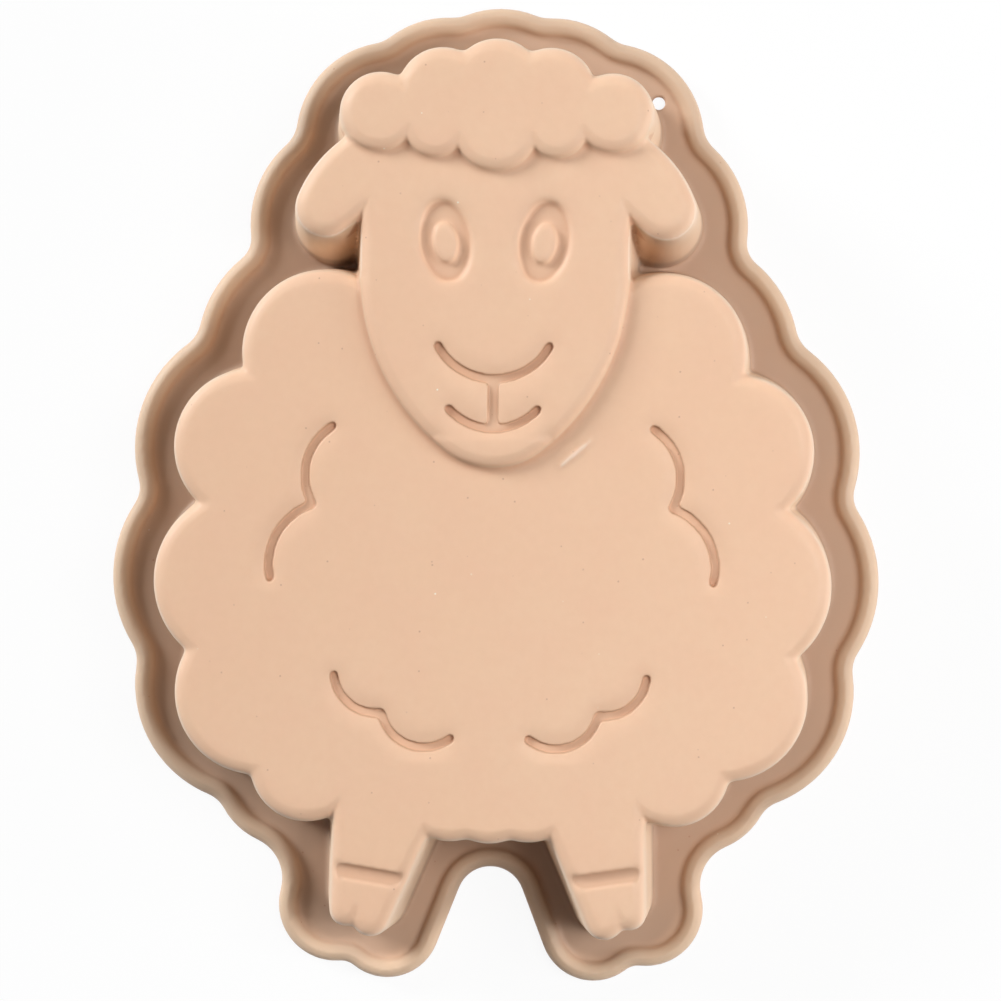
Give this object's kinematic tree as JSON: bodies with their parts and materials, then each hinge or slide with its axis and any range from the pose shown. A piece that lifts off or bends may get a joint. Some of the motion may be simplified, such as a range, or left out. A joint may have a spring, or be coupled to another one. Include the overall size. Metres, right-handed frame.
{
  "type": "lamb cake mould",
  "caption": "Shallow flexible baking mould in the shape of a standing lamb, open at its flat rim, with a wire-stiffened round bead and a hanging hole.",
  "frame": {"origin": "middle of the mould's outline, on the plane that its rim rests on", "axes": "+Z out of the lamb, away from the cavity's mouth; +Y towards the lamb's head; +X to the right of someone who looks at the lamb"},
  "size_m": [0.21, 0.266, 0.04],
  "materials": {
    "beige_silicone": "satin",
    "steel_wire": "drawn"
  },
  "bodies": {
    "root": {"silicone_mould": "beige_silicone", "rim_wire": "steel_wire"}
  },
  "joints": []
}
